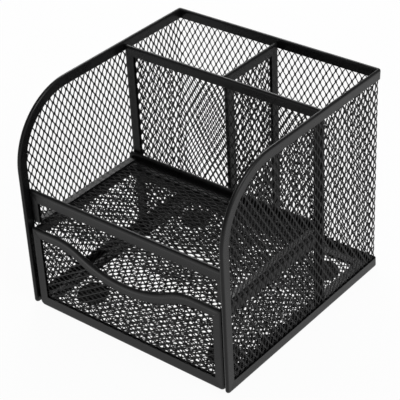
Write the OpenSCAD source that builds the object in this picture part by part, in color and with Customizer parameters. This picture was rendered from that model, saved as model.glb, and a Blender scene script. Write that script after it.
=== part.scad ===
// Steel-mesh pen stand: two deep pen wells at the back, an open tray in front of them and a
// mesh drawer below the tray. Every panel is an expanded-steel net whose cut edge is gripped by
// a folded U-shaped edging strip.
// +X is right, +Y is back, +Z is up. The origin is the centre of the footprint on the table.

/* [Body] */
// Overall width
body_w = 140; // [130:1:160]
// Overall depth, front to back
body_d = 142; // [134:1:162]
// Overall height, with its feet
body_h = 130; // [122:0.5:152]
// Radius of the swept front top corner of each side
front_curve_r = 42; // [30:1:46]
// Radius of the two upright back corners
back_corner_r = 2; // [1:0.1:2.2]
// Radius of the front bottom corner of each side
toe_r = 2.5; // [1:0.1:4]
// How far the feet hold the body off the table
foot_lift = 1; // [0.6:0.1:1.5]
// Diameter of a foot
foot_d = 18; // [12:0.5:22]
// Clearance between a foot and the strips of the floor
foot_gap = 3.5; // [0.3:0.1:5]
// From the front of the body to the middle of a front foot
foot_front = 25.5; // [23:0.5:32]

/* [Edging strips] */
// Depth of the folded strip over the net
rim_w = 6; // [5:0.5:7]
// Thickness of a folded strip, outside to outside
rim_t = 2.3; // [2.2:0.1:2.8]
// Sheet thickness of the strips
strip_gauge = 0.5; // [0.4:0.05:0.55]

/* [Net] */
// Thickness of the expanded net, over its raised strands
mesh_t = 1.1; // [0.9:0.1:1.1]
// Width aimed at for one diamond
cell_w = 17; // [15:1:24]
// Height aimed at for one diamond
cell_h = 27; // [24:1:36]
// Width of a strand
strand_w = 2; // [1.6:0.1:3]

/* [Floor] */
// Height of the floor's underside above the foot of the body
floor_rise = 0.6; // [0.4:0.1:1]
// Width of the strips on the side and rear edges of the floor
base_edging_w = 7.5; // [6:0.5:12]
// Width of the strip on the front edge of the floor
base_sill_w = 3; // [2.5:0.1:4]

/* [Pen wells] */
// From the front of the body to the front face of the cross divider
divider_y = 89.5; // [88:0.5:97]
// How far both dividers stay below the top
divider_drop = 2.3; // [1:0.1:5]
// Place of the short divider, from the middle
short_divider_x = 2; // [-20:0.5:20]

/* [Tray] */
// Height of the tray floor above the table
shelf_z = 56; // [51:0.5:63]
// Width of the strips at the sides and back of the tray floor
tray_edging_w = 5; // [4:0.5:6]
// Height of the tray's front wall above the tray floor
tray_wall_h = 20; // [17:0.5:24]
// Height of the rail on top of the front wall
tray_rail_h = 7.5; // [6:0.5:8]
// How far the front wall sits behind the front of the body
tray_setback = 4.5; // [1:0.1:6]
// Gap between the front wall and each front bar
tray_side_gap = 0.5; // [0.3:0.1:3]

/* [Drawer] */
// How far the drawer front sits behind the front of the body
drawer_setback = 1.6; // [0.2:0.1:2]
// Gap between the drawer and each front bar
drawer_side_gap = 1.3; // [0.8:0.1:3]
// Gap above the drawer front
drawer_head_gap = 0.5; // [0.3:0.1:2]
// Gap between the drawer front and the table
drawer_foot_gap = 0.5; // [0.4:0.1:1.5]
// Height of the rail at the foot of the drawer front
drawer_rail_h = 6.8; // [5.5:0.1:8]
// Depth of the whole drawer
drawer_depth = 83; // [70:0.5:85]
// How far the drawer's side and back walls stay below its front
drawer_wall_drop = 1; // [0.5:0.1:10]
// Radius of the drawer front's lower corners
drawer_corner_r = 3; // [2:0.5:5]
// Width of the finger dip in the top of the drawer front
dip_w = 97; // [80:1:104]
// Depth of the finger dip
dip_depth = 12; // [8:0.5:14]
// Share of the dip's half width that is shoulder
dip_shoulder = 0.375; // [0.3:0.005:0.45]
// Clearance between the drawer and what it slides on
run_gap = 0.3; // [0.2:0.05:0.5]

/* [Hidden] */
// Clearance between the net and the inside of a strip
mesh_fit = 0.05;
// Clearance between pieces that are spot-welded together
weld_gap = 0.1;
// Overshoot that keeps cuts open
cut = 1;
// Steps along each shoulder of the finger dip, and round each lower corner of the drawer front
dip_steps = 8;
corner_steps = 5;
$fn = 96;

slot_t = mesh_t + 2 * mesh_fit;
front_y = -body_d / 2;
back_y = body_d / 2;
side_x = body_w / 2;
// Inner and outer face of the net of an outside wall, measured in from the outside
net_out = (rim_t - mesh_t) / 2;
net_in = (rim_t + mesh_t) / 2;
// How far inside a strip's outer edge the net stops
net_edge = strip_gauge + mesh_fit;
inner_half = side_x - rim_t - weld_gap;
inner_back = back_y - rim_t - weld_gap;

// Floor of the pen wells and of the drawer bay, with the strips round it
floor_mid = foot_lift + floor_rise + rim_t / 2;
floor_top = floor_mid + rim_t / 2;
floor_y0 = front_y + drawer_setback + rim_t + run_gap;
edging_y0 = floor_y0 + base_sill_w + weld_gap;
foot_x = inner_half - base_edging_w - foot_gap - foot_d / 2;
foot_y0 = front_y + foot_front;
foot_y1 = inner_back - base_edging_w - foot_gap - foot_d / 2;

// Dividers
divider_mid = front_y + divider_y + rim_t / 2;
divider_back = front_y + divider_y + rim_t;
divider_foot = floor_top + weld_gap;
divider_top = body_h - divider_drop;
divider_h = divider_top - divider_foot;
short_y0 = divider_back + weld_gap;
short_l = inner_back - short_y0;

// Tray
shelf_mid = shelf_z - rim_t / 2;
shelf_under = shelf_z - rim_t;
wall_half = side_x - rim_t - tray_side_gap;
wall_mid = front_y + tray_setback + rim_t / 2;
wall_back = front_y + tray_setback + rim_t;
wall_top = shelf_z + tray_wall_h;
shelf_top = shelf_mid + mesh_t / 2 + weld_gap;
shelf_y0 = wall_back + weld_gap;
shelf_y1 = front_y + divider_y - weld_gap;

// Drawer
drawer_half = side_x - rim_t - drawer_side_gap;
drawer_mid = front_y + drawer_setback + rim_t / 2;
drawer_in = front_y + drawer_setback + rim_t;
drawer_z0 = drawer_foot_gap;
drawer_z1 = shelf_under - drawer_head_gap;
drawer_wall_z1 = drawer_z1 - drawer_wall_drop;
drawer_floor_z = floor_top + run_gap;
drawer_back = front_y + drawer_setback + drawer_depth;
box_y0 = drawer_in + weld_gap;
box_mid = drawer_half - rim_t / 2;
box_back_mid = drawer_back - rim_t / 2;
box_in = drawer_half - net_in;

steel = [0.11, 0.11, 0.12];
rubber = [0.07, 0.07, 0.07];
net_steel = [0.16, 0.16, 0.17];

// ---------------------------------------------------------------- shared shapes

// Stands a flat shape up across the body, t thick about the plane y = mid
module across(mid, t) {
    translate([0, mid + t / 2, 0]) rotate([90, 0, 0]) linear_extrude(t) children();
}

// Stands a flat shape up along the body, t thick about the plane x = mid
module along(mid, t) {
    translate([mid - t / 2, 0, 0]) rotate([90, 0, 90]) linear_extrude(t) children();
}

// Lays a flat shape down, t thick about the plane z = mid
module flat(mid, t) {
    translate([0, 0, mid - t / 2]) linear_extrude(t) children();
}

// Square from one corner to the other
module window(x0, y0, x1, y1) {
    translate([x0, y0]) square([x1 - x0, y1 - y0]);
}

// Diamond openings of a net, fitted to a window so that whole and half diamonds meet its edges
module diamonds(x0, y0, x1, y1) {
    columns = max(1, round((x1 - x0) / cell_w));
    rows = max(1, round((y1 - y0) / cell_h));
    pitch_x = (x1 - x0) / columns;
    pitch_y = (y1 - y0) / rows;
    strand_gap = pitch_x * pitch_y / sqrt(pow(pitch_x, 2) + pow(pitch_y, 2));
    open = (strand_gap - strand_w) / strand_gap;
    a = open * pitch_x / 2;
    b = open * pitch_y / 2;
    for (i = [0 : 2 * columns], j = [0 : 2 * rows])
        if ((i + j) % 2 == 1)
            translate([x0 + i * pitch_x / 2, y0 + j * pitch_y / 2])
                polygon([[a, 0], [0, b], [-a, 0], [0, -b]]);
}

// Net: the sheet is the first child, the part of it that shows between strips is the second
module net(x0, y0, x1, y1) {
    difference() {
        children(0);
        intersection() {
            children(1);
            diamonds(x0, y0, x1, y1);
        }
    }
}

// Rectangular net whose edges run under strips of the given cover
module plain_net(x0, y0, x1, y1, left, bottom, right, top) {
    net(x0 + left, y0 + bottom, x1 - right, y1 - top) {
        window(x0, y0, x1, y1);
        window(x0 + left, y0 + bottom, x1 - right, y1 - top);
    }
}

// Straight edging strip along +X: nose on z = 0, open side down, mitred at either end
module edging(length, depth, mitre_start, mitre_end) {
    difference() {
        across(0, rim_t)
            polygon([
                [0, 0],
                [length, 0],
                [length - mitre_end * depth, -depth],
                [mitre_start * depth, -depth],
            ]);
        translate([-cut, -slot_t / 2, -depth - cut])
            cube([length + 2 * cut, slot_t, depth + cut - strip_gauge]);
    }
}

// Edging strip that stands upright, nose towards -X
module upright(length, depth, mitre_foot, mitre_head) {
    rotate([0, -90, 0]) edging(length, depth, mitre_foot, mitre_head);
}

// ---------------------------------------------------------------- body

// Outline of a side wall, drawn in from its free edges
module side_shape(inset, foot, rear) {
    toe = max(toe_r - inset, 0);
    window(front_y + front_curve_r, foot, back_y - rear, body_h - inset);
    window(front_y + inset + toe, foot, back_y - rear, body_h - front_curve_r);
    window(front_y + inset, foot + toe, back_y - rear, body_h - front_curve_r);
    translate([front_y + front_curve_r, body_h - front_curve_r]) circle(r = front_curve_r - inset);
    if (toe > 0) translate([front_y + inset + toe, foot + toe]) circle(r = toe);
}

// Plan of the body, with its rounded back corners
module plan() {
    window(-side_x, front_y, side_x, back_y - back_corner_r);
    window(-side_x + back_corner_r, front_y, side_x - back_corner_r, back_y);
    for (side = [-1, 1])
        translate([side * (side_x - back_corner_r), back_y - back_corner_r]) circle(r = back_corner_r);
}

// Column over one side of the plan, mitred at the back corner
module side_column() {
    linear_extrude(body_h)
        intersection() {
            plan();
            polygon([
                [side_x - rim_t, front_y],
                [side_x, front_y],
                [side_x, back_y],
                [side_x - rim_t, back_y - rim_t],
            ]);
        }
}

// Column over the back of the plan, mitred at both corners
module back_column() {
    linear_extrude(body_h)
        intersection() {
            plan();
            polygon([
                [-side_x, back_y],
                [side_x, back_y],
                [side_x - rim_t, back_y - rim_t],
                [-side_x + rim_t, back_y - rim_t],
            ]);
        }
}

module side_mesh() {
    color(net_steel)
        along(side_x - rim_t / 2, mesh_t)
            net(front_y + rim_w, foot_lift + rim_w, back_y - rim_w, body_h - rim_w) {
                side_shape(net_edge, foot_lift + net_edge, net_in);
                intersection() {
                    side_shape(rim_w, foot_lift, rim_w);
                    window(front_y + rim_w, foot_lift + rim_w, back_y - rim_w, body_h - rim_w);
                }
            }
}

// Edging that runs up the front, round the sweep and back along the top
module side_rim() {
    color(steel)
        intersection() {
            difference() {
                along(side_x - rim_t / 2, rim_t)
                    difference() {
                        side_shape(0, foot_lift, 0);
                        side_shape(rim_w, -cut, -cut);
                        polygon([
                            [front_y, foot_lift],
                            [back_y, foot_lift],
                            [back_y, foot_lift + 2 * rim_w],
                            [front_y + 2 * rim_w, foot_lift + 2 * rim_w],
                        ]);
                    }
                along(side_x - rim_t / 2, slot_t)
                    side_shape(strip_gauge, foot_lift + strip_gauge, -cut);
            }
            side_column();
        }
}

module base_rim() {
    color(steel)
        intersection() {
            difference() {
                along(side_x - rim_t / 2, rim_t)
                    intersection() {
                        side_shape(0, foot_lift, 0);
                        polygon([
                            [front_y, foot_lift],
                            [back_y, foot_lift],
                            [back_y, foot_lift + rim_w],
                            [front_y + rim_w, foot_lift + rim_w],
                        ]);
                    }
                along(side_x - rim_t / 2, slot_t)
                    side_shape(strip_gauge, foot_lift + strip_gauge, -cut);
            }
            side_column();
        }
}

module left_side_mesh() mirror([1, 0, 0]) side_mesh();
module right_side_mesh() side_mesh();
module left_side_rim() mirror([1, 0, 0]) side_rim();
module right_side_rim() side_rim();
module left_base_rim() mirror([1, 0, 0]) base_rim();
module right_base_rim() base_rim();

module back_mesh() {
    half = side_x - net_out;
    z0 = foot_lift + net_edge;
    color(net_steel)
        across(back_y - rim_t / 2, mesh_t)
            plain_net(-half, z0, half, body_h - net_edge, rim_w, rim_w, rim_w, rim_w);
}

module back_top_rim() {
    color(steel)
        intersection() {
            translate([-side_x, back_y - rim_t / 2, body_h]) edging(body_w, rim_w, 0, 0);
            back_column();
        }
}

module back_base_rim() {
    color(steel)
        intersection() {
            translate([-side_x, back_y - rim_t / 2, foot_lift])
                rotate([180, 0, 0]) edging(body_w, rim_w, 0, 0);
            back_column();
        }
}

// Floor of the pen wells and of the drawer bay
module base_mesh() {
    half = inner_half - net_edge;
    color(net_steel)
        flat(floor_mid, mesh_t)
            plain_net(
                -half, floor_y0 + net_edge, half, inner_back - net_edge,
                base_edging_w, base_sill_w, base_edging_w, base_edging_w
            );
}

// Strip on the front edge of the floor, behind the drawer front
module base_front_sill() {
    color(steel)
        translate([-inner_half, floor_y0, floor_mid])
            rotate([90, 0, 0]) edging(2 * inner_half, base_sill_w, 0, 0);
}

// Flat strips that the drawer slides on, mitred with the one along the back
module base_right_edging() {
    color(steel)
        translate([inner_half, edging_y0, floor_mid])
            rotate([90, 0, 90]) edging(inner_back - edging_y0, base_edging_w, 0, 1);
}

module base_left_edging() mirror([1, 0, 0]) base_right_edging();

module base_rear_edging() {
    color(steel)
        translate([-inner_half, inner_back, floor_mid])
            rotate([-90, 0, 0]) edging(2 * inner_half, base_edging_w, 1, 1);
}

// Round pad on the underside of the floor net, placed by its middle
module foot(x, y) {
    color(rubber)
        translate([x, y, 0]) linear_extrude(floor_mid - mesh_t / 2) circle(d = foot_d);
}

module left_front_foot() foot(-foot_x, foot_y0);
module right_front_foot() foot(foot_x, foot_y0);
module left_rear_foot() foot(-foot_x, foot_y1);
module right_rear_foot() foot(foot_x, foot_y1);

// ---------------------------------------------------------------- dividers

module divider_mesh() {
    half = inner_half - net_edge;
    color(net_steel)
        across(divider_mid, mesh_t)
            plain_net(-half, divider_foot, half, divider_top - net_edge, rim_w, rim_w, rim_w, rim_w);
}

module divider_top_rail() {
    color(steel)
        translate([-inner_half, divider_mid, divider_top]) edging(2 * inner_half, rim_w, 1, 1);
}

module divider_left_stile() {
    color(steel)
        translate([-inner_half, divider_mid, divider_foot]) upright(divider_h, rim_w, 0, 1);
}

module divider_right_stile() mirror([1, 0, 0]) divider_left_stile();

module short_divider_mesh() {
    y0 = short_y0 + net_edge;
    y1 = inner_back - net_edge;
    color(net_steel)
        along(short_divider_x, mesh_t)
            plain_net(y0, divider_foot, y1, divider_top - net_edge, rim_w, rim_w, rim_w, rim_w);
}

module short_divider_top_rail() {
    color(steel)
        translate([short_divider_x, short_y0, divider_top])
            rotate([0, 0, 90]) edging(short_l, rim_w, 1, 1);
}

module short_divider_front_stile() {
    color(steel)
        translate([short_divider_x, short_y0, divider_foot])
            rotate([0, 0, 90]) upright(divider_h, rim_w, 0, 1);
}

module short_divider_rear_stile() {
    color(steel)
        translate([short_divider_x, inner_back, divider_foot])
            rotate([0, 0, -90]) upright(divider_h, rim_w, 0, 1);
}

// ---------------------------------------------------------------- tray

module tray_shelf_mesh() {
    half = inner_half - net_edge;
    y0 = wall_mid + mesh_t / 2;
    y1 = shelf_y1 - rim_t - weld_gap;
    color(net_steel)
        flat(shelf_mid, mesh_t)
            plain_net(-half, y0, half, y1, tray_edging_w, strand_w, tray_edging_w, strand_w);
}

module tray_right_edging() {
    color(steel)
        translate([inner_half, shelf_y0, shelf_mid])
            rotate([90, 0, 90]) edging(shelf_y1 - shelf_y0 - rim_t - weld_gap, tray_edging_w, 0, 0);
}

module tray_left_edging() mirror([1, 0, 0]) tray_right_edging();

// Strip along the foot of the cross divider
module tray_rear_edging() {
    color(steel)
        translate([-inner_half, shelf_y1 - rim_t / 2, shelf_under + tray_edging_w])
            edging(2 * inner_half, tray_edging_w, 0, 0);
}

module tray_wall_mesh() {
    half = wall_half - net_edge;
    color(net_steel)
        across(wall_mid, mesh_t)
            plain_net(
                -half, shelf_mid - mesh_t / 2, half, wall_top - net_edge,
                tray_edging_w, strand_w, tray_edging_w, tray_rail_h
            );
}

module tray_wall_top_rail() {
    color(steel)
        difference() {
            across(wall_mid, rim_t)
                polygon([
                    [-wall_half, wall_top],
                    [wall_half, wall_top],
                    [wall_half - tray_edging_w, wall_top - tray_rail_h],
                    [-wall_half + tray_edging_w, wall_top - tray_rail_h],
                ]);
            across(wall_mid, slot_t)
                window(-wall_half - cut, shelf_z, wall_half + cut, wall_top - strip_gauge);
        }
}

module tray_wall_left_stile() {
    color(steel)
        difference() {
            across(wall_mid, rim_t)
                polygon([
                    [-wall_half, shelf_top],
                    [-wall_half, wall_top],
                    [-wall_half + tray_edging_w, wall_top - tray_rail_h],
                    [-wall_half + tray_edging_w, shelf_top],
                ]);
            across(wall_mid, slot_t)
                window(-wall_half + strip_gauge, shelf_under, 0, wall_top + cut);
        }
}

module tray_wall_right_stile() mirror([1, 0, 0]) tray_wall_left_stile();

// ---------------------------------------------------------------- drawer

// Top line of the drawer front from left to right, drawn in by inset: shoulder arcs that are
// convex, and between them a wide concave arc
function dip_line(inset) =
    let (
        half = dip_w / 2,
        turn = 2 * atan(dip_depth / half),
        shoulder_r = half * dip_shoulder / sin(turn),
        bowl_r = half * (1 - dip_shoulder) / sin(turn),
        shoulder_z = drawer_z1 - shoulder_r,
        bowl_z = drawer_z1 - dip_depth + bowl_r,
        left = [
            for (i = [0 : dip_steps])
                let (t = turn * i / dip_steps)
                    [-half + (shoulder_r - inset) * sin(t), shoulder_z + (shoulder_r - inset) * cos(t)]
        ],
        bowl = [
            for (i = [1 : 2 * dip_steps - 1])
                let (t = turn * (i / dip_steps - 1))
                    [(bowl_r + inset) * sin(t), bowl_z - (bowl_r + inset) * cos(t)]
        ],
        right = [for (i = [dip_steps : -1 : 0]) [-left[i][0], left[i][1]]]
    )
    concat(left, bowl, right);

// Rounded lower right corner of the drawer front, from the side down to the foot
function foot_corner(half, foot, r) = [
    for (i = [0 : corner_steps])
        let (t = 90 * i / corner_steps)
            [half - r + r * cos(t), foot + r - r * sin(t)]
];

// Outline of the drawer front, drawn in by inset, and by foot at its lower edge
module front_shape(inset, foot) {
    half = drawer_half - inset;
    head = drawer_z1 - inset;
    corner = foot_corner(half, drawer_z0 + foot, max(drawer_corner_r - inset, strip_gauge));
    mirrored = [for (i = [corner_steps : -1 : 0]) [-corner[i][0], corner[i][1]]];
    polygon(concat([[-half, head]], dip_line(inset), [[half, head]], corner, mirrored));
}

// One strip of the frame round the drawer front: the first child picks its share of the frame
module front_strip() {
    color(steel)
        difference() {
            across(drawer_mid, rim_t)
                intersection() {
                    difference() {
                        front_shape(0, 0);
                        front_shape(rim_w, drawer_rail_h);
                    }
                    children(0);
                }
            across(drawer_mid, slot_t) front_shape(strip_gauge, strip_gauge);
        }
}

module drawer_front_mesh() {
    half = drawer_half - rim_w;
    color(net_steel)
        across(drawer_mid, mesh_t)
            net(-half, drawer_z0 + drawer_rail_h, half, drawer_z1 - rim_w) {
                front_shape(net_edge, net_edge);
                intersection() {
                    front_shape(rim_w, drawer_rail_h);
                    window(-half, drawer_z0 + drawer_rail_h, half, drawer_z1 - rim_w);
                }
            }
}

module drawer_front_top_rim() {
    half = drawer_half - rim_w;
    middle = (drawer_z0 + drawer_z1 - dip_depth) / 2;
    front_strip()
        polygon([
            [-drawer_half, drawer_z1],
            [-half, drawer_z1 - rim_w],
            [-half, middle],
            [half, middle],
            [half, drawer_z1 - rim_w],
            [drawer_half, drawer_z1],
        ]);
}

module drawer_front_bottom_rail() {
    half = drawer_half - rim_w;
    front_strip()
        polygon([
            [-drawer_half, drawer_z0],
            [drawer_half, drawer_z0],
            [half, drawer_z0 + drawer_rail_h],
            [-half, drawer_z0 + drawer_rail_h],
        ]);
}

module drawer_front_left_stile() {
    half = drawer_half - rim_w;
    front_strip()
        polygon([
            [-drawer_half, drawer_z0],
            [-drawer_half, drawer_z1],
            [-half, drawer_z1 - rim_w],
            [-half, drawer_z0 + drawer_rail_h],
        ]);
}

module drawer_front_right_stile() mirror([1, 0, 0]) drawer_front_left_stile();

module drawer_floor_mesh() {
    y1 = drawer_back - net_in;
    half = box_in;
    color(net_steel)
        flat(drawer_floor_z + mesh_t / 2, mesh_t)
            plain_net(-half, box_y0, half, y1, strand_w, strand_w, strand_w, strand_w);
}

module drawer_right_mesh() {
    y1 = drawer_back - net_out;
    top = drawer_wall_z1 - net_edge;
    color(net_steel)
        along(box_mid, mesh_t)
            plain_net(box_y0, drawer_floor_z, y1, top, strand_w, 2 * strand_w, strand_w, rim_w);
}

module drawer_left_mesh() mirror([1, 0, 0]) drawer_right_mesh();

module drawer_back_mesh() {
    half = box_in;
    top = drawer_wall_z1 - net_edge;
    color(net_steel)
        across(box_back_mid, mesh_t)
            plain_net(-half, drawer_floor_z, half, top, strand_w, 2 * strand_w, strand_w, rim_w);
}

// Strip on top of the drawer's right wall, mitred at the back
module drawer_right_rim() {
    color(steel)
        intersection() {
            translate([box_mid, box_y0, drawer_wall_z1])
                rotate([0, 0, 90]) edging(drawer_back - box_y0, rim_w, 0, 0);
            linear_extrude(body_h)
                polygon([
                    [drawer_half - rim_t, box_y0],
                    [drawer_half, box_y0],
                    [drawer_half, drawer_back],
                    [drawer_half - rim_t, drawer_back - rim_t],
                ]);
        }
}

module drawer_left_rim() mirror([1, 0, 0]) drawer_right_rim();

// Strip on top of the drawer's back wall, mitred at both ends
module drawer_back_rim() {
    color(steel)
        intersection() {
            translate([-drawer_half, box_back_mid, drawer_wall_z1]) edging(2 * drawer_half, rim_w, 0, 0);
            linear_extrude(body_h)
                polygon([
                    [-drawer_half, drawer_back],
                    [drawer_half, drawer_back],
                    [drawer_half - rim_t, drawer_back - rim_t],
                    [-drawer_half + rim_t, drawer_back - rim_t],
                ]);
        }
}

// ---------------------------------------------------------------- nodes

left_side_mesh();
right_side_mesh();
back_mesh();
base_mesh();
left_side_rim();
right_side_rim();
back_top_rim();
left_base_rim();
right_base_rim();
back_base_rim();
base_front_sill();
base_left_edging();
base_right_edging();
base_rear_edging();
left_front_foot();
right_front_foot();
left_rear_foot();
right_rear_foot();
divider_mesh();
divider_top_rail();
divider_left_stile();
divider_right_stile();
short_divider_mesh();
short_divider_top_rail();
short_divider_front_stile();
short_divider_rear_stile();
tray_shelf_mesh();
tray_left_edging();
tray_right_edging();
tray_rear_edging();
tray_wall_mesh();
tray_wall_top_rail();
tray_wall_left_stile();
tray_wall_right_stile();
drawer_front_mesh();
drawer_front_top_rim();
drawer_front_bottom_rail();
drawer_front_left_stile();
drawer_front_right_stile();
drawer_floor_mesh();
drawer_left_mesh();
drawer_right_mesh();
drawer_back_mesh();
drawer_left_rim();
drawer_right_rim();
drawer_back_rim();
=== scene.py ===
# Steel-mesh pen stand: expanded-steel nets at their real pitch, folded edging strips and foam
# feet, all in black powder coat or rubber. Sizes are in millimetres, and places follow the frame.
import math
import bmesh
import bpy
import numpy as np
from mathutils import Matrix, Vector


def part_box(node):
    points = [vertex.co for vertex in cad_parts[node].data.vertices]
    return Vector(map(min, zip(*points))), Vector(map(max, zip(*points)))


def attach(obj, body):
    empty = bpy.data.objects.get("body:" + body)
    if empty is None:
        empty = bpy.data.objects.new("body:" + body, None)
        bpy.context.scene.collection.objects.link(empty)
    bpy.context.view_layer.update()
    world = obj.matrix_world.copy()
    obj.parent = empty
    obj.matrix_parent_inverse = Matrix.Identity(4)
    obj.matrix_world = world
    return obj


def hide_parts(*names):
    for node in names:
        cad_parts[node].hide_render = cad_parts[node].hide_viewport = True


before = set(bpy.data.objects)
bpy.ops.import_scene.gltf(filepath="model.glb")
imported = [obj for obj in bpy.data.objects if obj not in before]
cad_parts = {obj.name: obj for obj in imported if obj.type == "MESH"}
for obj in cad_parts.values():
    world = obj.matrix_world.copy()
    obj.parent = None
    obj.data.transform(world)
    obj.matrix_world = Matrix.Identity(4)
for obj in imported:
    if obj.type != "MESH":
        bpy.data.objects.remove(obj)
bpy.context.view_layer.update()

MM = 0.001

# ------------------------------------------------------------------ sizes of the solid model

BODY_W = 140.0
BODY_D = 142.0
BODY_H = 130.0
CURVE_R = 42.0           # sweep of each side's front top corner
CORNER_R = 2.0           # upright back corners
TOE_R = 2.5              # front bottom corner of each side
FOOT_LIFT = 1.0
RIM_W = 6.0
RIM_T = 2.3
NET_T = 1.1
FLOOR_RISE = 0.6
BASE_EDGE_W = 7.5
SILL_W = 3.0
DIVIDER_Y = 89.5
DIVIDER_DROP = 2.3
SHORT_X = 2.0
SHELF_Z = 56.0
TRAY_EDGE_W = 5.0
TRAY_WALL_H = 20.0
TRAY_RAIL_H = 7.5
TRAY_SETBACK = 4.5
TRAY_SIDE_GAP = 0.5
DRAWER_SETBACK = 1.6
DRAWER_SIDE_GAP = 1.3
DRAWER_HEAD_GAP = 0.5
DRAWER_FOOT_GAP = 0.5
DRAWER_RAIL_H = 6.8
DRAWER_DEPTH = 83.0
DRAWER_WALL_DROP = 1.0
DRAWER_CORNER_R = 3.0
DIP_W = 97.0
DIP_DEPTH = 12.0
DIP_SHOULDER = 0.375
RUN_GAP = 0.3
WELD_GAP = 0.1

FRONT = -BODY_D / 2
BACK = BODY_D / 2
SIDE = BODY_W / 2
RIM_MID = SIDE - RIM_T / 2              # middle plane of each side wall
BACK_MID = BACK - RIM_T / 2
INNER_X = SIDE - RIM_T - WELD_GAP
INNER_Y = BACK - RIM_T - WELD_GAP
FLOOR_MID = FOOT_LIFT + FLOOR_RISE + RIM_T / 2
FLOOR_FRONT = FRONT + DRAWER_SETBACK + RIM_T + RUN_GAP
DIVIDER_MID = FRONT + DIVIDER_Y + RIM_T / 2
DIVIDER_TOP = BODY_H - DIVIDER_DROP
SHELF_MID = SHELF_Z - RIM_T / 2
SHELF_BACK = FRONT + DIVIDER_Y - WELD_GAP
WALL_MID = FRONT + TRAY_SETBACK + RIM_T / 2
WALL_TOP = SHELF_Z + TRAY_WALL_H
DRAWER_HALF = SIDE - RIM_T - DRAWER_SIDE_GAP
DRAWER_MID = FRONT + DRAWER_SETBACK + RIM_T / 2
DRAWER_Z0 = DRAWER_FOOT_GAP
DRAWER_Z1 = SHELF_Z - RIM_T - DRAWER_HEAD_GAP
DRAWER_WALL_Z1 = DRAWER_Z1 - DRAWER_WALL_DROP
DRAWER_FLOOR = FLOOR_MID + RIM_T / 2 + RUN_GAP
DRAWER_BACK = FRONT + DRAWER_SETBACK + DRAWER_DEPTH
BOX_FRONT = FRONT + DRAWER_SETBACK + RIM_T + WELD_GAP
BOX_MID = DRAWER_HALF - RIM_T / 2
BOX_BACK_MID = DRAWER_BACK - RIM_T / 2

# ------------------------------------------------------------------ details of the real thing

STRAND_W = 0.84          # width of a strand
STRAND_T = 0.34          # sheet thickness of the net, coated
STRAND_BEVEL = 0.1       # chamfer along a strand's edges
BOND_L = 1.4             # length of the joint between two diamonds
SHORTEST = 1.0           # shorter ends of strands are left off
SHEET_BEND = 1.2         # bend radius of a bent net
UNDER = 2.0              # how deep the net's edge stays inside a strip
FOLD_GAUGE = 0.42        # sheet thickness of a strip, coated
FOLD_BEVEL = 0.13        # chamfer of a flange's edge, outside
INNER_BEVEL = 0.1        # and inside
FOLD_FLAT = 0.4          # length of a flange's pinched edge
PINCH = 0.15             # how far each flange closes on the net
DEEP_FOLD = 4.5          # deeper strips close in two more steps, others close at once
DEEP_STEPS = ((0.6, 0.6), (0.36, 0.15))      # (share of the depth, share of the pinch)
SHALLOW_PINCH = 0.3      # share of the pinch where the nose of a shallow strip ends
NOSE_END = 1.5           # depth at which the nose ends
LIP_GROOVE = ((2.75, 0.17), (2.35, 0.12), (2.0, 0.0))    # under a rolled lip: (depth, how far in)
SEAM = 0.05              # half the seam at a mitre
TIGHTEST = 0.5           # least radius of a strip's inner line in a bend
CRISP = 38               # edges that turn by more degrees than this stay sharp


def mesh_object(name, verts, faces, sharp=None):
    """A mesh from points in millimetres, with its faces turned outwards."""
    mesh = bpy.data.meshes.new(name)
    mesh.from_pydata((np.asarray(verts, float) * MM).tolist(), [], np.asarray(faces).tolist())
    bm = bmesh.new()
    bm.from_mesh(mesh)
    bmesh.ops.remove_doubles(bm, verts=bm.verts, dist=1e-7)
    bmesh.ops.recalc_face_normals(bm, faces=bm.faces)
    bm.to_mesh(mesh)
    bm.free()
    mesh.polygons.foreach_set("use_smooth", [True] * len(mesh.polygons))
    if sharp:
        mesh.set_sharp_from_angle(angle=math.radians(sharp))
    obj = bpy.data.objects.new(name, mesh)
    bpy.context.scene.collection.objects.link(obj)
    return obj


def fit(obj, body, material, slot, *nodes):
    """Gives a piece its finish, and puts it in place of its nodes on their body."""
    obj.data.materials.append(material)
    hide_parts(*nodes)
    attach(obj, body)


# ------------------------------------------------------------------ materials

NOISE_SPAN = (0.3, 0.7)  # nearly all of a noise's values lie between these
CLOUD_SCALE = 90         # per metre, clouds of tone and gloss
GRAIN_GLOSS = 0.04       # how far the grain moves the roughness either way
GRAIN_DEPTH = 0.00004    # metres


def noise(nodes, links, place, scale, detail):
    tex = nodes.new("ShaderNodeTexNoise")
    tex.inputs["Scale"].default_value = scale
    tex.inputs["Detail"].default_value = detail
    links.new(place, tex.inputs["Vector"])
    return tex.outputs["Fac"]


def spread(nodes, links, value, low, high):
    """Spreads a noise over the range from low to high."""
    span = nodes.new("ShaderNodeMapRange")
    for name, limit in zip(("From Min", "From Max", "To Min", "To Max"), (*NOISE_SPAN, low, high)):
        span.inputs[name].default_value = limit
    links.new(value, span.inputs["Value"])
    return span.outputs["Result"]


def maths(nodes, links, operation, first, second):
    """A math node on two values, each a socket or a number."""
    node = nodes.new("ShaderNodeMath")
    node.operation = operation
    for socket, value in zip(node.inputs, (first, second)):
        if hasattr(value, "links"):
            links.new(value, socket)
        else:
            socket.default_value = value
    return node.outputs["Value"]


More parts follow.
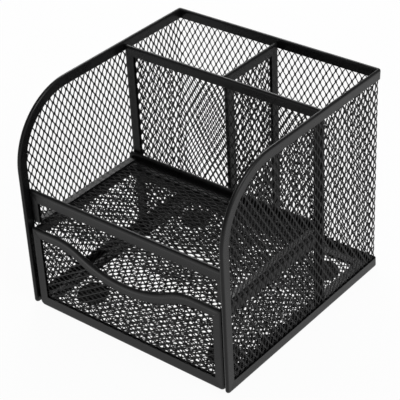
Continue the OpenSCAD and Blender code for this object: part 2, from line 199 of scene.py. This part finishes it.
def coat(name, tones, roughness, grain, bump, specular):
    """A satin finish: clouds of tone and gloss between two values, under a fine grain."""
    mat = bpy.data.materials.new(name)
    mat.use_nodes = True
    nodes, links = mat.node_tree.nodes, mat.node_tree.links
    shader = nodes["Principled BSDF"]
    shader.inputs["Specular IOR Level"].default_value = specular
    place = nodes.new("ShaderNodeTexCoord").outputs["Object"]
    cloud = noise(nodes, links, place, CLOUD_SCALE, 3)
    fine = noise(nodes, links, place, grain, 2)
    tone = nodes.new("ShaderNodeMix")
    tone.data_type = "RGBA"
    for socket, colour in zip(("A", "B"), tones):
        tone.inputs[socket].default_value = (*colour, 1)
    links.new(spread(nodes, links, cloud, 0, 1), tone.inputs["Factor"])
    links.new(tone.outputs["Result"], shader.inputs["Base Color"])
    gloss = maths(nodes, links, "ADD", spread(nodes, links, cloud, *roughness),
                  spread(nodes, links, fine, -GRAIN_GLOSS, GRAIN_GLOSS))
    links.new(gloss, shader.inputs["Roughness"])
    peel = nodes.new("ShaderNodeBump")
    peel.inputs["Strength"].default_value = bump
    peel.inputs["Distance"].default_value = GRAIN_DEPTH
    links.new(fine, peel.inputs["Height"])
    links.new(peel.outputs["Normal"], shader.inputs["Normal"])
    return mat


steel = coat("powder_coat", tones=((0.0042, 0.0042, 0.0044), (0.0066, 0.0066, 0.0069)),
             roughness=(0.25, 0.34), grain=2200, bump=0.5, specular=0.24)
net_steel = coat("powder_coat_net", tones=((0.0036, 0.0036, 0.0038), (0.0058, 0.0058, 0.006)),
                 roughness=(0.36, 0.46), grain=3000, bump=0.3, specular=0.25)
foam = coat("foam_rubber", tones=((0.006, 0.006, 0.006), (0.011, 0.011, 0.011)),
            roughness=(0.85, 0.95), grain=5000, bump=1.0, specular=0.3)

# ------------------------------------------------------------------ nets

SPARE = 3                # half diamonds tried past each end of a net or strand
NEAR_BEND = 1.0          # strands this near a bend follow its curve
ARC = SHEET_BEND * math.pi / 2


def strand_line(m, sa, sb, ends, long, hole_l, half):
    """Middle of strand m as lists of l, s and n. It runs along sa and sb in turn, and joins a
    neighbour on each of these stretches. half is the strand's half width, as (s, n)."""
    first, last = ((end - hole_l) / long * 2 for end in ends)
    ls, ss, ns = [], [], []
    for i in range(math.floor(first) - SPARE, math.ceil(last) + SPARE + 1):
        at = hole_l + (i + 1) * long / 2
        left = (m + i) % 2 == 0
        ls += [at - BOND_L / 2, at + BOND_L / 2]
        ss += [sa + half[0] if left else sb - half[0]] * 2
        ns += [half[1] if left else -half[1]] * 2
    return ls, ss, ns


def strands(place, edges, spans, pitch, hole, tilt, bends=(), column=None):
    """Expanded-metal net. s runs across the strands and l along them, n is the height over the
    sheet. place(s, l, n) gives points, edges are the outermost s, spans(sa, sb) are the lengths
    that the strand between sa and sb keeps, pitch is a diamond's size along s and l, hole is the
    middle of one diamond, and tilt is the strands' lean out of the sheet, in radians."""
    short, long = pitch
    column = column or (lambda m: hole[0] + m * short / 2)
    first = math.floor((edges[0] - hole[0]) / short * 2) - SPARE
    last = math.ceil((edges[1] - hole[0]) / short * 2) + SPARE
    width = np.array([math.cos(tilt), math.sin(tilt)])
    thick = np.array([-math.sin(tilt), math.cos(tilt)])
    a, b, flat_a = STRAND_W / 2, STRAND_T / 2, STRAND_W / 2 - STRAND_BEVEL
    outline = [(a, 0), (flat_a, b), (-flat_a, b), (-a, 0), (-flat_a, -b), (flat_a, -b)]
    outline = np.array([p * width + q * thick for p, q in outline])
    sides = len(outline)
    verts, faces, count = [], [], 0
    for m in range(first, last + 1):
        sa, sb = column(m), column(m + 1)
        if sa < edges[0] or sb > edges[1]:
            continue
        bent = any(sa - NEAR_BEND < end and sb + NEAR_BEND > start for start, end in bends)
        for l0, l1 in spans(sa, sb):
            if l1 - l0 < SHORTEST:
                continue
            ls, ss, ns = strand_line(m, sa, sb, (l0, l1), long, hole[1], a * width)
            stops = list(ls)
            if bent:
                stops += [x + (y - x) * k / 4 for x, y in zip(ls, ls[1:]) for k in (1, 2, 3)]
            stops = np.array(sorted([l0, l1] + [l for l in stops if l0 < l < l1]))
            mids = np.stack([np.interp(stops, ls, ss), np.interp(stops, ls, ns)], 1)
            ring = mids[:, None, :] + outline[None, :, :]
            verts.append(place(ring[..., 0].ravel(), np.repeat(stops, sides), ring[..., 1].ravel()))
            grid = count + np.arange(len(stops) * sides).reshape(-1, sides)
            turn = np.roll(grid, -1, axis=1)
            faces.append(np.stack([grid[:-1], grid[1:], turn[1:], turn[:-1]], -1).reshape(-1, 4))
            for end in (grid[0], grid[-1]):
                faces.append(np.array([end[[0, 1, 2, 3]], end[[3, 4, 5, 0]]]))
            count += len(stops) * sides
    return np.concatenate(verts), np.concatenate(faces)


def net(name, body, nodes, *shape, **more):
    """A net of strands in place of its nodes."""
    fit(mesh_object(name, *strands(*shape, **more)), body, net_steel, "net", *nodes)


def plain(l0, l1):
    """Spans of a net whose strands all run from l0 to l1."""
    return lambda sa, sb: [(l0, l1)]


def flat(origin, s_axis, l_axis, n_axis):
    """Places a flat sheet by its origin and its three directions."""
    origin, s_axis, l_axis, n_axis = (np.array(v, float) for v in (origin, s_axis, l_axis, n_axis))
    return lambda s, l, n: origin + np.outer(s, s_axis) + np.outer(l, l_axis) + np.outer(n, n_axis)


def bent_sheet(axis, start, ahead, inward, runs):
    """A sheet of straight runs with a quarter bend inwards between each two. l is along the axis,
    and start, ahead and inward lie in the plane across it. Gives the sheet's place function, and
    the stretches of s that are bent."""
    at, ahead, inward = (np.array(v, float) for v in (start, ahead, inward))
    legs, begin = [], 0.0
    for run in runs:
        legs.append((begin, begin + run, at, ahead, inward))
        at = at + (run + SHEET_BEND) * ahead + SHEET_BEND * inward
        begin += run + ARC
        ahead, inward = inward, -ahead

    def place(s, l, n):
        points = np.empty((len(s), 2))
        for i, (begin, end, at, ahead, inward) in enumerate(legs):
            k = (s >= begin) | (i == 0)
            points[k] = at + np.outer(s[k] - begin, ahead) + np.outer(n[k], inward)
            if i < len(legs) - 1:
                k = s > end
                turn = (s[k] - end) / SHEET_BEND
                middle = at + (end - begin) * ahead + SHEET_BEND * inward
                way = np.outer(np.cos(turn), inward) - np.outer(np.sin(turn), ahead)
                points[k] = middle - (SHEET_BEND - n[k])[:, None] * way
        return np.insert(points, "xyz".index(axis), l, axis=1)

    return place, [(leg[1], after[0]) for leg, after in zip(legs, legs[1:])]


# The three walls are one bent sheet. s runs from the front of the left side round to the front of
# the right side, l is the height and n points inwards.
SIDE_RUN = BACK_MID - FRONT - SHEET_BEND
BACK_RUN = 2 * (RIM_MID - SHEET_BEND)
GIRTH = 2 * SIDE_RUN + 2 * ARC + BACK_RUN
wall_sheet, wall_bends = bent_sheet("z", (-RIM_MID, FRONT), (0, 1), (1, 0), (SIDE_RUN, BACK_RUN, SIDE_RUN))


def wall_spans(sa, sb):
    """Full height, but under the sweep near the two front edges."""
    near = min(sa, GIRTH - sb)
    top = BODY_H - UNDER
    if near < CURVE_R:
        top += math.sqrt((CURVE_R - UNDER) ** 2 - (CURVE_R - near) ** 2) - (CURVE_R - UNDER)
    return [(FOOT_LIFT + UNDER, top)]


# Places where the diamonds' columns stand, as (count of half columns, s)
COLUMNS = ((-31, 0.3), (0, 68.6), (32, SIDE_RUN + ARC / 2), (65, SIDE_RUN + ARC + BACK_RUN / 2 + 1.0),
           (97, SIDE_RUN + 1.5 * ARC + BACK_RUN), (107, 299.2), (160, 415.6))


def wall_column(m):
    """Place of the half column m of the wall's net, between the measured ones."""
    return float(np.interp(m, [c[0] for c in COLUMNS], [c[1] for c in COLUMNS]))


net("wall_net", "housing", ("left_side_mesh", "back_mesh", "right_side_mesh"), wall_sheet,
    edges=(UNDER, GIRTH - UNDER), spans=wall_spans, pitch=(4.4, 6.83), hole=(68.6, 89.85),
    tilt=0.25, bends=wall_bends, column=wall_column)

# Floor of the wells and of the drawer bay: strands run along X, and s runs forwards
FLOOR_NET_HALF = INNER_X - BASE_EDGE_W + UNDER
FLOOR_NET_BACK = INNER_Y - BASE_EDGE_W + UNDER
FLOOR_NET_FRONT = FLOOR_FRONT + SILL_W / 2
net("base_net", "housing", ("base_mesh",), flat((0, 0, FLOOR_MID), (0, -1, 0), (1, 0, 0), (0, 0, 1)),
    edges=(-FLOOR_NET_BACK, -FLOOR_NET_FRONT), spans=plain(-FLOOR_NET_HALF, FLOOR_NET_HALF),
    pitch=(4.2, 6.8), hole=(0, 0), tilt=-0.15)

DIVIDER_LIFT = 1.0       # gap between the floor's strips and the dividers' nets
divider_span = plain(FLOOR_MID + RIM_T / 2 + DIVIDER_LIFT, DIVIDER_TOP - UNDER)
net("divider_net", "housing", ("divider_mesh",),
    flat((0, DIVIDER_MID, 0), (1, 0, 0), (0, 0, 1), (0, -1, 0)),
    edges=(UNDER - INNER_X, INNER_X - UNDER), spans=divider_span,
    pitch=(4.13, 6.73), hole=(0.2, 93.0), tilt=0.2)
net("short_divider_net", "housing", ("short_divider_mesh",),
    flat((SHORT_X, 0, 0), (0, 1, 0), (0, 0, 1), (1, 0, 0)),
    edges=(DIVIDER_MID + RIM_T / 2 + UNDER, INNER_Y - UNDER), spans=divider_span,
    pitch=(4.24, 6.73), hole=(43.9, 93.7), tilt=0.2)

# The tray's floor and front wall are one bent sheet: s runs forwards and then up the wall
TRAY_RUN = SHELF_BACK - RIM_T - WELD_GAP - (WALL_MID + SHEET_BEND)
TRAY_START = WALL_MID + SHEET_BEND + TRAY_RUN
TRAY_RISE = WALL_TOP - UNDER - SHELF_MID - SHEET_BEND
TRAY_ROW_Y = -23.0       # a row of diamonds of the tray's floor
TRAY_WALL_HALF = SIDE - RIM_T - TRAY_SIDE_GAP
tray_sheet, tray_bends = bent_sheet("x", (TRAY_START, SHELF_MID), (-1, 0), (0, 1), (TRAY_RUN, TRAY_RISE))


def tray_spans(sa, sb):
    """Full width on the floor, and between the stiles on the front wall."""
    half = INNER_X - UNDER if sb < TRAY_RUN else TRAY_WALL_HALF - UNDER
    return [(-half, half)]


net("tray_net", "housing", ("tray_shelf_mesh", "tray_wall_mesh"), tray_sheet,
    edges=(0, TRAY_RUN + ARC + TRAY_RISE), spans=tray_spans,
    pitch=(4.135, 7.14), hole=(TRAY_START - TRAY_ROW_Y, -0.4), tilt=-0.35, bends=tray_bends)

# ------------------------------------------------------------------ drawer nets

# The dip is two shoulders and a bowl, all arcs that turn by the same angle
DIP_TURN = 2 * math.atan(DIP_DEPTH / (DIP_W / 2))
SHOULDER_R = DIP_W / 2 * DIP_SHOULDER / math.sin(DIP_TURN)
BOWL_R = DIP_W / 2 * (1 - DIP_SHOULDER) / math.sin(DIP_TURN)
DIP_STEPS = 40           # steps of each quarter of the dip, for the net's ends
NET_HEAD_GAP = 1.0       # from the last strand to the top of the drawer's walls


def dip(inset, turns):
    """Top line of the drawer front from left to right, drawn in by inset, as (x, z)."""
    r, bowl_r = SHOULDER_R - inset, BOWL_R + inset
    left = [(-DIP_W / 2 + r * math.sin(t), DRAWER_Z1 - SHOULDER_R + r * math.cos(t))
            for t in np.linspace(0, DIP_TURN, turns + 1)]
    bowl = [(bowl_r * math.sin(t), DRAWER_Z1 - DIP_DEPTH + BOWL_R - bowl_r * math.cos(t))
            for t in np.linspace(-DIP_TURN, DIP_TURN, 2 * turns + 1)[1:-1]]
    return left + bowl + [(-x, z) for x, z in reversed(left)]


def front_spans(sa, sb):
    """Full width, but beside the dip near the top."""
    half = DRAWER_HALF - UNDER
    left_line = [p for p in dip(UNDER, DIP_STEPS) if p[0] <= 0]
    if sb >= DRAWER_Z1 - UNDER:
        return []
    if sb <= left_line[-1][1]:
        return [(-half, half)]
    x = float(np.interp(-sb, [-p[1] for p in left_line], [p[0] for p in left_line]))
    return [(-half, x), (-x, half)]


net("drawer_front_net", "drawer", ("drawer_front_mesh",),
    flat((0, DRAWER_MID, 0), (0, 0, 1), (1, 0, 0), (0, 1, 0)),
    edges=(DRAWER_Z0 + UNDER, DRAWER_Z1 - NET_HEAD_GAP), spans=front_spans,
    pitch=(4.28, 6.83), hole=(20.6, 0), tilt=0.1)

# The drawer's floor and sides are one bent sheet: s runs down the left side, across and up again
BOX_LOW = DRAWER_FLOOR + NET_T / 2
BOX_RISE = DRAWER_WALL_Z1 - UNDER - BOX_LOW - SHEET_BEND
BOX_FLAT = 2 * (BOX_MID - SHEET_BEND)
box_sheet, box_bends = bent_sheet("y", (-BOX_MID, BOX_LOW + SHEET_BEND + BOX_RISE), (0, -1), (1, 0),
                                  (BOX_RISE, BOX_FLAT, BOX_RISE))
net("drawer_box_net", "drawer", ("drawer_floor_mesh", "drawer_left_mesh", "drawer_right_mesh"),
    box_sheet, edges=(0, 2 * BOX_RISE + 2 * ARC + BOX_FLAT),
    spans=plain(BOX_FRONT, BOX_BACK_MID - NET_T / 2),
    pitch=(4.2, 6.8), hole=(BOX_RISE + ARC + BOX_FLAT / 2, 0), tilt=-0.15, bends=box_bends)
net("drawer_back_net", "drawer", ("drawer_back_mesh",),
    flat((0, BOX_BACK_MID, 0), (0, 0, 1), (1, 0, 0), (0, 1, 0)),
    edges=(DRAWER_FLOOR, DRAWER_WALL_Z1 - NET_HEAD_GAP),
    spans=plain(-BOX_MID + NET_T / 2, BOX_MID - NET_T / 2),
    pitch=(4.2, 6.8), hole=(22, 0), tilt=0.3)

# ------------------------------------------------------------------ strips

NOSE_STEPS = 5           # steps of a quarter of the nose
SWEEP_STEPS = 28         # steps of a side's sweep
DIP_TURNS = 10           # steps of each quarter of the finger dip


def fold(depth, lip=False):
    """Section of a folded strip, as (depth from the nose, height across). Outside, then inside."""
    half = RIM_T / 2
    tip = half - PINCH
    outer = [(depth, tip - FOLD_BEVEL), (depth - FOLD_BEVEL, tip), (depth - FOLD_FLAT, tip)]
    if lip:
        outer += [(d, half - step) for d, step in LIP_GROOVE]
    elif depth > DEEP_FOLD:
        outer += [(share * depth, half - part * PINCH) for share, part in DEEP_STEPS]
        outer += [(NOSE_END, half)]
    else:
        outer += [(NOSE_END, half - SHALLOW_PINCH * PINCH)]
    inner = [(d, h - FOLD_GAUGE) for d, h in outer[2:]]
    inner = [(depth, tip - FOLD_GAUGE + INNER_BEVEL), (depth - FOLD_BEVEL, tip - FOLD_GAUGE)] + inner
    for t in np.linspace(math.pi / 2, 0, NOSE_STEPS + 1):
        outer.append((half - half * math.cos(t), half * math.sin(t)))
        r = half - FOLD_GAUGE
        inner.append((half - r * math.cos(t), r * math.sin(t)))
    outer += [(d, -h) for d, h in reversed(outer[:-1])]
    inner += [(d, -h) for d, h in reversed(inner[:-1])]
    return outer + inner[::-1]


def loft(name, rings):
    """A strip through rings of its section, closed at both ends."""
    n = len(rings[0])
    verts = [p for ring in rings for p in ring]
    faces = [(i * n + k, i * n + (k + 1) % n, (i + 1) * n + (k + 1) % n, (i + 1) * n + k)
             for i in range(len(rings) - 1) for k in range(n)]
    for base in (0, (len(rings) - 1) * n):
        faces += [(base + k, base + k + 1, base + n - 2 - k, base + n - 1 - k) for k in range(n // 2 - 1)]
    return mesh_object(name, verts, faces, sharp=CRISP)


def strip(name, body, node, rings):
    """A folded strip through its rings, in place of its node."""
    fit(loft(name, rings), body, steel, "edging", node)


def straight(node, run, nose, start, end, lip=False):
    """A straight strip in its node's box. run is its long axis, nose the side of its fold, and
    start and end are how far each end steps in for each step of depth."""
    lo, hi = (np.array(v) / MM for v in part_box(node))
    r, k = "xyz".index(run), "xyz".index(nose[1])
    across = 3 - r - k
    sign = 1 if nose[0] == "+" else -1
    rings = []
    for at, step, seam in ((lo[r], start, SEAM), (hi[r], -end, -SEAM)):
        ring = []
        for d, h in fold(hi[k] - lo[k], lip):
            p = np.zeros(3)
            p[r] = at + step * d + (seam if step else 0)
            p[k] = (hi[k] if sign > 0 else lo[k]) - sign * d
            p[across] = (lo[across] + hi[across]) / 2 + h
            ring.append(p)
        rings.append(ring)
    strip(node.replace("_stile", "_upright") + "_strip", "housing", node, rings)


TRAY_MITRE = TRAY_EDGE_W / TRAY_RAIL_H
LIPPED = ("tray_wall_top_rail",)
for node, run, nose, start, end in (
    ("base_front_sill", "x", "-y", 0, 0),
    ("base_left_edging", "y", "-x", 0, 1),
    ("base_right_edging", "y", "+x", 0, 1),
    ("base_rear_edging", "x", "+y", 1, 1),
    ("divider_top_rail", "x", "+z", 1, 1),
    ("divider_left_stile", "z", "-x", 0, 1),
    ("divider_right_stile", "z", "+x", 0, 1),
    ("short_divider_top_rail", "y", "+z", 1, 1),
    ("short_divider_front_stile", "z", "-y", 0, 1),
    ("short_divider_rear_stile", "z", "+y", 0, 1),
    ("tray_left_edging", "y", "-x", 0, 0),
    ("tray_right_edging", "y", "+x", 0, 0),
    ("tray_rear_edging", "x", "+z", 0, 0),
    ("tray_wall_top_rail", "x", "+z", TRAY_MITRE, TRAY_MITRE),
    ("tray_wall_left_stile", "z", "-x", 0, 1 / TRAY_MITRE),
    ("tray_wall_right_stile", "z", "+x", 0, 1 / TRAY_MITRE),
):
    straight(node, run, nose, start, end, lip=node in LIPPED)

# The flat leg of the tray's rear edging: the rear edge of the tray's net lies on it
LEG_W = 6.0
LEG_DROP = 0.33          # from the middle of the net down to the leg
LEG_BEVEL = 0.06
LEG_BACK_GAP = 0.3       # from the leg's hidden edge to the divider
leg_front, leg_back = SHELF_BACK - RIM_T - LEG_W, SHELF_BACK - LEG_BACK_GAP
leg_top = SHELF_MID - LEG_DROP
leg_foot = leg_top - FOLD_GAUGE
leg = [(leg_back, leg_top), (leg_front + LEG_BEVEL, leg_top), (leg_front, leg_top - LEG_BEVEL),
       (leg_front, leg_foot + LEG_BEVEL), (leg_front + LEG_BEVEL, leg_foot), (leg_back, leg_foot)]
leg_strip = loft("tray_rear_leg", [[(x, y, z) for y, z in leg] for x in (-INNER_X, INNER_X)])
leg_strip.data.materials.append(steel)
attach(leg_strip, "housing")

section = fold(RIM_W)
lip_section = fold(RIM_W, lip=True)
rail_section = fold(DRAWER_RAIL_H)
eighth = np.linspace(0, math.pi / 4, 5)      # turns from a straight piece to a mitre

CORNER_X = SIDE - CORNER_R
CORNER_Y = BACK - CORNER_R


def round_corner(h, t):
    """Point of a section at a back corner, t round it from its wall to the mitre. Gives its
    distance from the corner's centre across its wall, and along it."""
    reach = CORNER_R - RIM_T / 2 + h
    out, deep = max(reach, 0), min(reach, 0)
    return out * math.cos(t) + deep, out * math.sin(t) + deep


def toe_turn(d, t):
    """Front bottom corner of a side drawn in by d, t from its front edge to its foot."""
    r = max(TOE_R - d, TIGHTEST)
    return FRONT + d + r - r * math.cos(t), FOOT_LIFT + d + r - r * math.sin(t)


last_turn = eighth[-1] - SEAM / CORNER_R     # where a ring at a mitre stops, for the seam
for side, hand in ((-1, "left"), (1, "right")):
    sweep_y, sweep_z = FRONT + CURVE_R, BODY_H - CURVE_R
    toe = [[toe_turn(d, min(t, last_turn)) for d, h in section] for t in reversed(eighth)]
    rings = [[(side * (RIM_MID + h), y, z) for (y, z), (d, h) in zip(turn, section)] for turn in toe]
    rings += [[(side * (RIM_MID + h), sweep_y - (CURVE_R - d) * math.cos(t),
                sweep_z + (CURVE_R - d) * math.sin(t)) for d, h in section]
              for t in np.linspace(0, math.pi / 2, SWEEP_STEPS + 1)]
    toe = [[toe_turn(d, math.pi / 2 - min(t, last_turn)) for d, h in section] for t in reversed(eighth)]
    foot_rings = [[(side * (RIM_MID + h), y, z) for (y, z), (d, h) in zip(turn, section)] for turn in toe]
    for t in eighth:
        bend = [round_corner(h, min(t, last_turn)) for d, h in section]
        line = [(side * (CORNER_X + x), CORNER_Y + y) for x, y in bend]
        rings.append([(x, y, BODY_H - d) for (x, y), (d, h) in zip(line, section)])
        foot_rings.append([(x, y, FOOT_LIFT + d) for (x, y), (d, h) in zip(line, section)])
    strip(hand + "_side_strip", "housing", hand + "_side_rim", rings)
    strip(hand + "_base_strip", "housing", hand + "_base_rim", foot_rings)

bends = [[round_corner(h, min(t, last_turn)) for d, h in section] for t in eighth]
path = [(-1, b) for b in reversed(bends)] + [(1, b) for b in bends]
for name, node, height in (("back_top_strip", "back_top_rim", lambda d: BODY_H - d),
                           ("back_base_strip", "back_base_rim", lambda d: FOOT_LIFT + d)):
    rings = [[(hand * (CORNER_X + x), CORNER_Y + y, height(d)) for (y, x), (d, h) in zip(bend, section)]
             for hand, bend in path]
    strip(name, "housing", node, rings)

# The frame round the drawer front: top strip, two stiles with their lower corners, bottom rail
def dip_ring(i):
    """Ring of the front's top strip at point i of the dip."""
    line = {d: dip(d, DIP_TURNS)[i] for d, h in lip_section}
    return [(line[d][0], DRAWER_MID + h, line[d][1]) for d, h in lip_section]


rings = [[(-DRAWER_HALF + d + SEAM, DRAWER_MID + h, DRAWER_Z1 - d) for d, h in lip_section]]
rings += [dip_ring(i) for i in range(4 * DIP_TURNS + 1)]
rings += [[(DRAWER_HALF - d - SEAM, DRAWER_MID + h, DRAWER_Z1 - d) for d, h in lip_section]]
strip("drawer_front_top_strip", "drawer", "drawer_front_top_rim", rings)


def foot_turn(d, t):
    """Lower corner of the drawer front drawn in by d, t from its side to its foot."""
    r = max(DRAWER_CORNER_R - d, TIGHTEST)
    return (DRAWER_HALF - d - r + r * math.cos(t), DRAWER_Z0 + d + r - r * math.sin(t))


for side, hand in ((-1, "left"), (1, "right")):
    rings = [[(side * (DRAWER_HALF - d), DRAWER_MID + h, DRAWER_Z1 - d - SEAM) for d, h in section]]
    for t in eighth:
        turn = [foot_turn(d, min(t, last_turn)) for d, h in section]
        rings.append([(side * x, DRAWER_MID + h, z) for (x, z), (d, h) in zip(turn, section)])
    strip("drawer_front_" + hand + "_strip", "drawer", "drawer_front_" + hand + "_stile", rings)

corner = []
for t in eighth:
    turn = [foot_turn(d * RIM_W / DRAWER_RAIL_H, math.pi / 2 - min(t, last_turn)) for d, h in rail_section]
    corner.append([(x, z + d * (1 - RIM_W / DRAWER_RAIL_H)) for (x, z), (d, h) in zip(turn, rail_section)])
rings = [[(hand * x, DRAWER_MID + h, z) for (x, z), (d, h) in zip(turn, rail_section)]
         for hand, turn in [(-1, c) for c in reversed(corner)] + [(1, c) for c in corner]]
strip("drawer_front_bottom_strip", "drawer", "drawer_front_bottom_rail", rings)

# Strips on the drawer's other three walls
for side, hand in ((-1, "left"), (1, "right")):
    rings = [[(side * (BOX_MID + h), BOX_FRONT, DRAWER_WALL_Z1 - d) for d, h in section],
             [(side * (BOX_MID + h), DRAWER_BACK - RIM_T / 2 + h - SEAM, DRAWER_WALL_Z1 - d)
              for d, h in section]]
    strip("drawer_" + hand + "_strip", "drawer", "drawer_" + hand + "_rim", rings)
rings = [[(side * (BOX_MID + h - SEAM), BOX_BACK_MID + h, DRAWER_WALL_Z1 - d) for d, h in section]
         for side in (-1, 1)]
strip("drawer_back_strip", "drawer", "drawer_back_rim", rings)

# ------------------------------------------------------------------ feet

FOOT_EDGE = 0.5          # radius of a pad's lower edge
FOOT_DISH = ((0.0, 0.12), (0.6, 0.04))       # hollow underneath: (share of the radius, height)
FOOT_BEVEL = 0.15        # chamfer of a pad's upper edge
FOOT_SIDES = 64
FOOT_STEPS = 5           # steps of the edge's rounding

for node in ("left_front_foot", "right_front_foot", "left_rear_foot", "right_rear_foot"):
    lo, hi = (np.array(v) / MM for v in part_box(node))
    cx, cy = (lo[0] + hi[0]) / 2, (lo[1] + hi[1]) / 2
    radius, top = (hi[0] - lo[0]) / 2, hi[2]
    outline = [(radius * share, z) for share, z in FOOT_DISH] + [(radius - FOOT_EDGE, 0)]
    outline += [(radius - FOOT_EDGE + FOOT_EDGE * math.sin(t), FOOT_EDGE - FOOT_EDGE * math.cos(t))
                for t in np.linspace(0, math.pi / 2, FOOT_STEPS + 1)[1:]]
    outline += [(radius, top - FOOT_BEVEL), (radius - FOOT_BEVEL, top), (0.0, top)]
    n = FOOT_SIDES
    verts = [(cx + r * math.cos(2 * math.pi * k / n), cy + r * math.sin(2 * math.pi * k / n), z)
             for r, z in outline for k in range(n)]
    faces = [(i * n + k, i * n + (k + 1) % n, (i + 1) * n + (k + 1) % n, (i + 1) * n + k)
             for i in range(len(outline) - 1) for k in range(n)]
    fit(mesh_object(node + "_pad", verts, faces, sharp=CRISP), "housing", foam, "foot", node)

# ------------------------------------------------------------------ floor, light and camera

FLOOR_REACH = 6          # metres from the middle to each edge
FLOOR_TONE = (0.85, 0.85, 0.85, 1)
FLOOR_WHITE = 0.95       # share of plain white in what the view, gloss and glass see of the floor
WORLD_LIGHT = 0.33       # even light from all round

scene = bpy.context.scene


def make_floor():
    """A plain pale floor that keeps the object's shadow."""
    mesh = bpy.data.meshes.new("floor")
    corners = [(x * FLOOR_REACH, y * FLOOR_REACH, 0) for x, y in ((-1, -1), (1, -1), (1, 1), (-1, 1))]
    mesh.from_pydata(corners, [], [(0, 1, 2, 3)])
    pale = bpy.data.materials.new("pale_floor")
    pale.use_nodes = True
    nodes, links = pale.node_tree.nodes, pale.node_tree.links
    shader = nodes["Principled BSDF"]
    shader.inputs["Base Color"].default_value = FLOOR_TONE
    shader.inputs["Roughness"].default_value = 0.9
    ray = nodes.new("ShaderNodeLightPath").outputs
    seen = maths(nodes, links, "MAXIMUM", ray["Is Camera Ray"], ray["Is Glossy Ray"])
    seen = maths(nodes, links, "MAXIMUM", seen, ray["Is Transmission Ray"])
    mix = nodes.new("ShaderNodeMixShader")
    links.new(maths(nodes, links, "MULTIPLY", seen, FLOOR_WHITE), mix.inputs[0])
    links.new(shader.outputs[0], mix.inputs[1])
    links.new(nodes.new("ShaderNodeEmission").outputs[0], mix.inputs[2])
    links.new(mix.outputs[0], nodes["Material Output"].inputs["Surface"])
    mesh.materials.append(pale)
    floor = bpy.data.objects.new("floor", mesh)
    scene.collection.objects.link(floor)


def make_world():
    """Plain soft light from all round."""
    world = bpy.data.worlds.new("studio")
    scene.world = world
    world.use_nodes = True
    soft = world.node_tree.nodes["Background"]
    soft.inputs["Color"].default_value = (1, 1, 1, 1)
    soft.inputs["Strength"].default_value = WORLD_LIGHT


def pose(right, up, ahead, place):
    """Matrix of a lamp or camera that looks ahead, from its place in metres."""
    return Matrix([[right[i], up[i], -ahead[i], place[i]] for i in range(3)] + [[0, 0, 0, 1]])


def softbox(name, place, aim, size, power):
    """A square lamp. Places and size are in metres, and power is in watts."""
    light = bpy.data.lights.new(name, "AREA")
    light.shape = "SQUARE"
    light.size = size
    light.energy = power
    obj = bpy.data.objects.new(name, light)
    ahead = np.array(aim, float) - np.array(place, float)
    ahead /= np.linalg.norm(ahead)
    side = np.cross(ahead, (0, 0, 1))
    side /= np.linalg.norm(side)
    obj.matrix_world = pose(side, np.cross(side, ahead), ahead, place)
    scene.collection.objects.link(obj)


def make_camera(azimuth, elevation, roll, eye, focal):
    """Angles are in degrees: azimuth from the front to the right, elevation from level, and roll
    about the line of sight. The eye's place is in millimetres."""
    azimuth, elevation, roll = math.radians(azimuth), math.radians(elevation), math.radians(roll)
    ahead = np.array([-math.sin(azimuth) * math.cos(elevation), math.cos(azimuth) * math.cos(elevation),
                      -math.sin(elevation)])
    level = np.array([math.cos(azimuth), math.sin(azimuth), 0])
    rise = np.cross(level, ahead)
    right = math.cos(roll) * level + math.sin(roll) * rise
    up = -math.sin(roll) * level + math.cos(roll) * rise
    lens = bpy.data.cameras.new("camera")
    lens.sensor_fit = "HORIZONTAL"
    lens.sensor_width = 36
    lens.lens = focal
    camera = bpy.data.objects.new("camera", lens)
    camera.matrix_world = pose(right, up, ahead, np.array(eye) * MM)
    scene.collection.objects.link(camera)
    scene.camera = camera


make_floor()
make_world()
softbox("top_light", place=(-0.4, 0.42, 0.6), aim=(0, 0, 0.08), size=0.35, power=2.6)
softbox("side_light", place=(0.8, -0.1, 0.7), aim=(0, 0, 0.06), size=0.5, power=5.2)
make_camera(azimuth=40.32, elevation=32.84, roll=-3.12, eye=(433.6, -513.4, 492.2), focal=129.56)
scene.view_settings.view_transform = "Standard"
